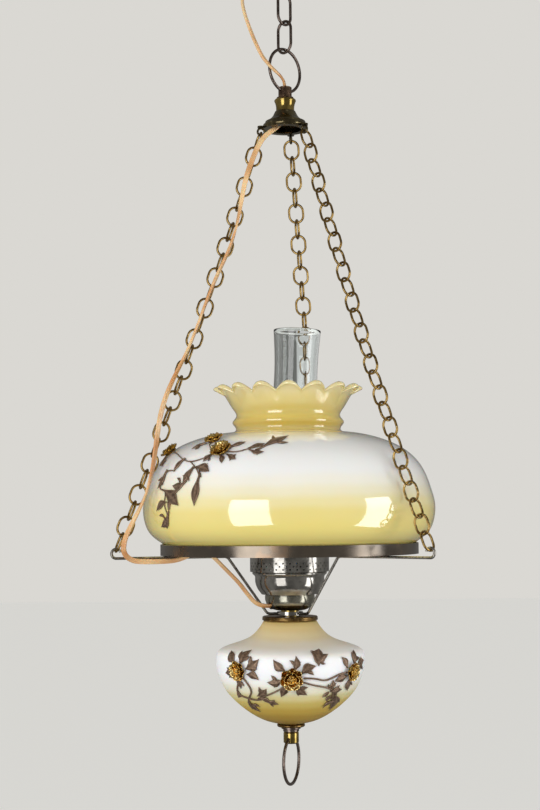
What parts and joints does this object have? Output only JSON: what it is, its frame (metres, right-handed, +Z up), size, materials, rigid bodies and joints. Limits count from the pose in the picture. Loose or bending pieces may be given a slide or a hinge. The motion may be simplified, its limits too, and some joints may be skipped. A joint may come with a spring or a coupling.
{
  "type": "hanging oil lamp fixture",
  "caption": "Hanging lamp: painted glass shade with crimped rim on a metal band, clear chimney, burner and glass font, hung by chains from a bell cap, ring and ceiling canopy.",
  "frame": {"origin": "middle of the ceiling face, between the two screw holes of the crossbar", "axes": "+Z up along the lamp axis into the ceiling, -Y towards the front, +X to the right seen from the front"},
  "size_m": [0.3274, 0.3308, 0.909],
  "materials": {
    "dark_bronze": "dark patinated, satin",
    "polished_brass": "polished",
    "aged_brass": "aged, satin",
    "nickel_plate": "bright nickel plate",
    "zinc_steel": "zinc plated",
    "painted_opal": "cased opal glass, painted",
    "clear_glass": "clear, polished",
    "bulb_glass": "frosted",
    "bulb_metal": "bright",
    "black_plastic": "moulded",
    "cord_plastic": "clear amber insulation",
    "gilt_cast": "gilt, satin",
    "bronze_cast": "brown bronze, satin"
  },
  "bodies": {
    "ceiling": {"canopy": "dark_bronze", "crossbar": "zinc_steel", "nipple": "zinc_steel", "nipple_nut": "zinc_steel", "canopy_loop": "dark_bronze"},
    "suspension": {"link_3": "dark_bronze", "link_2": "dark_bronze", "link_1": "dark_bronze", "hang_ring": "dark_bronze", "upper_cord": "cord_plastic"},
    "chimney": {"chimney_glass": "clear_glass"},
    "bulb": {"bulb_base": "bulb_metal", "bulb_glass": "bulb_glass"},
    "pull_ring": {"pull_ring": "dark_bronze"},
    "lamp": {"ring_collar": "polished_brass", "collar_neck": "polished_brass", "bell_cap": "dark_bronze", "hanger_plate": "dark_bronze", "chain_rear": "aged_brass", "chain_left": "aged_brass", "chain_right": "aged_brass", "arm_rear": "nickel_plate", "arm_left": "nickel_plate", "arm_right": "nickel_plate", "arm_collar": "nickel_plate", "shade_band": "nickel_plate", "burner_gallery": "nickel_plate", "burner_bowl": "nickel_plate", "burner_cup": "nickel_plate", "cord_grommet": "black_plastic", "socket_insulator": "black_plastic", "socket_shell": "polished_brass", "socket_contact": "polished_brass", "font_bushing": "polished_brass", "font_cap": "polished_brass", "font_glass": "painted_opal", "font_rod": "zinc_steel", "rod_nut": "zinc_steel", "font_washer": "polished_brass", "finial_step": "dark_bronze", "finial_knob": "polished_brass", "lamp_cord": "cord_plastic", "font_flowers": "gilt_cast", "font_leaves": "bronze_cast", "shade_glass": "painted_opal", "shade_flowers": "gilt_cast", "shade_leaves": "bronze_cast"}
  },
  "joints": [
    {"name": "chain_swing", "type": "hinge", "parent": "ceiling", "child": "suspension", "pos_m": [0, 0, -0.0571], "axis": [0.7071, -0.7071, 0], "range_deg": [-15, 15]},
    {"name": "lamp_swing", "type": "hinge", "parent": "suspension", "child": "lamp", "pos_m": [0, 0, -0.19145], "axis": [0.7071, 0.7071, 0], "range_deg": [-15, 15]},
    {"name": "chimney_lift", "type": "slide", "parent": "lamp", "child": "chimney", "axis": [-0.0419, 0, 0.9991], "range_m": [0, 0.1]},
    {"name": "bulb_out", "type": "slide", "parent": "lamp", "child": "bulb", "axis": [0, 0, 1], "range_m": [0, 0.03]},
    {"name": "pull_ring_swing", "type": "hinge", "parent": "lamp", "child": "pull_ring", "pos_m": [0, 0, -0.8621], "axis": [0.342, 0.9397, 0], "range_deg": [-95, 95]}
  ]
}
